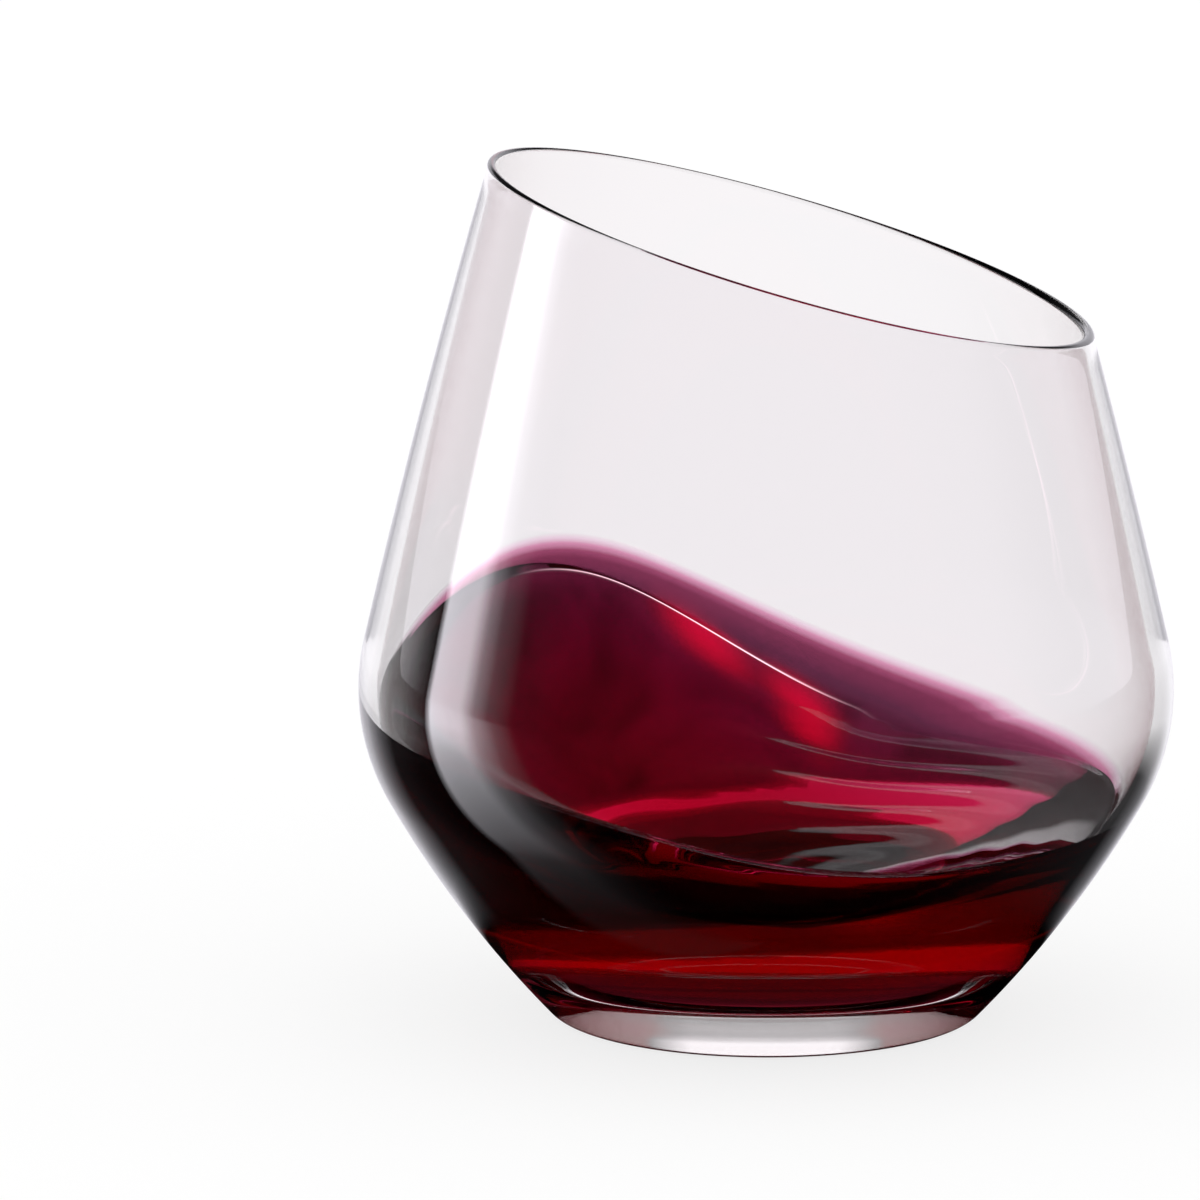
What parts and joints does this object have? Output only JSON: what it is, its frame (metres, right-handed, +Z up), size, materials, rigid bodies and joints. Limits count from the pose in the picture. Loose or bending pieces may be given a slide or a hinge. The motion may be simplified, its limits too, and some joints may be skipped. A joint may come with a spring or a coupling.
{
  "type": "stemless wine glass",
  "caption": "Stemless wine glass with a heavy foot, a rounded shoulder, inward-leaning walls and a slanted rim, holding a swirl of red wine.",
  "frame": {"origin": "centre of the flat ring under the foot, on the plane that the glass stands on", "axes": "+Z up along the glass's axis; -X towards the high side of the slanted rim; +Y away from the picture's viewer"},
  "size_m": [0.104, 0.104, 0.1102],
  "materials": {
    "clear_glass": "gloss",
    "red_wine": "gloss"
  },
  "bodies": {
    "root": {"glass_body": "clear_glass", "red_wine": "red_wine"}
  },
  "joints": []
}
